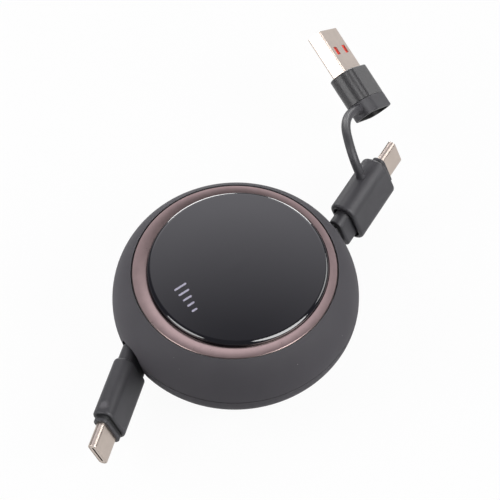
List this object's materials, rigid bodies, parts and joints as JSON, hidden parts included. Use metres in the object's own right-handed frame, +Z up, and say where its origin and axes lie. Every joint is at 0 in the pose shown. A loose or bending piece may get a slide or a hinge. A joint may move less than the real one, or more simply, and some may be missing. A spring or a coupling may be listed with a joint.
{
  "type": "retractable charging cable",
  "caption": "Round sprung reel that winds in a flat charging cable from both sides, with a plug on each end and a tethered plug adapter on one of them.",
  "frame": {"origin": "centre of the flat base that the puck rests on", "axes": "+Z up through the puck and its lens, +X towards the exit of the cable that ends in the charger plug"},
  "size_m": [0.1276, 0.0839, 0.0282],
  "materials": {
    "housing_shell": "soft-touch dark grey",
    "trim_metal": "satin rose brown with a polished edge",
    "lens_gloss": "high-gloss black",
    "screw_steel": "zinc plated",
    "ball_steel": "polished",
    "reel_plastic": "moulded, slippery",
    "spring_steel": "blued strip",
    "cable_jacket": "matte dark grey",
    "plug_rubber": "matte dark grey",
    "plug_metal": "warm nickel plate",
    "insulator_black": "moulded",
    "insulator_red": "moulded",
    "contact_gold": "gold flash",
    "circuit_board": "solder mask",
    "adapter_gloss": "semi-gloss dark grey"
  },
  "bodies": {
    "housing": {"lower_shell": "housing_shell", "upper_shell": "housing_shell", "housing_screws": "screw_steel", "trim_ring": "trim_metal", "top_lens": "lens_gloss", "stop_ball": "ball_steel"},
    "reel": {"reel_drum": "reel_plastic", "spring_barrel": "reel_plastic", "spring_cover": "reel_plastic", "main_spring": "spring_steel", "cable_winding": "cable_jacket"},
    "device_plug": {"device_plug_overmould": "plug_rubber", "device_plug_shell": "plug_metal", "device_plug_insulator": "insulator_black", "device_plug_contacts": "contact_gold", "device_plug_board": "circuit_board", "device_cable_lead": "cable_jacket"},
    "charger_plug": {"charger_plug_overmould": "plug_rubber", "charger_plug_shell": "plug_metal", "charger_plug_insulator": "insulator_black", "charger_plug_contacts": "contact_gold", "charger_plug_board": "circuit_board", "tether_sleeve": "plug_rubber", "tether": "plug_rubber", "charger_cable_lead": "cable_jacket"},
    "adapter": {"adapter_body": "adapter_gloss", "adapter_collar": "plug_rubber", "wide_plug_shell": "plug_metal", "wide_plug_insulator": "insulator_red", "wide_plug_contacts": "contact_gold", "adapter_board": "circuit_board", "socket_shell": "plug_metal", "socket_tongue": "insulator_black", "socket_contacts": "contact_gold"}
  },
  "joints": [
    {"name": "reel_spin", "type": "hinge", "parent": "housing", "child": "reel", "pos_m": [0, 0, 0], "axis": [0, 0, 1], "range_deg": [0, 1690], "stiffness_Nm_per_rad": 0.0005, "springref_deg": -687.55, "deforming": ["main_spring"]},
    {"name": "device_plug_pull", "type": "slide", "parent": "housing", "child": "device_plug", "axis": [-0.7791, -0.6241, 0.0593], "range_m": [0, 0.418], "deforming": ["device_cable_lead"]},
    {"name": "charger_plug_pull", "type": "slide", "parent": "housing", "child": "charger_plug", "axis": [0.9256, 0.3572, 0.1253], "range_m": [0, 0.418], "deforming": ["charger_cable_lead"]},
    {"name": "adapter_swing", "type": "hinge", "parent": "charger_plug", "child": "adapter", "pos_m": [0.0484, 0.0159, 0.0248], "axis": [-0.715, 0.5237, -0.4632], "range_deg": [-35, 15], "stiffness_Nm_per_rad": 0.02, "deforming": ["tether"]}
  ],
  "couplings": [
    {"joint": "device_plug_pull", "follows": "reel_spin", "m_per_rad": 0.01415},
    {"joint": "charger_plug_pull", "follows": "reel_spin", "m_per_rad": 0.01415}
  ]
}
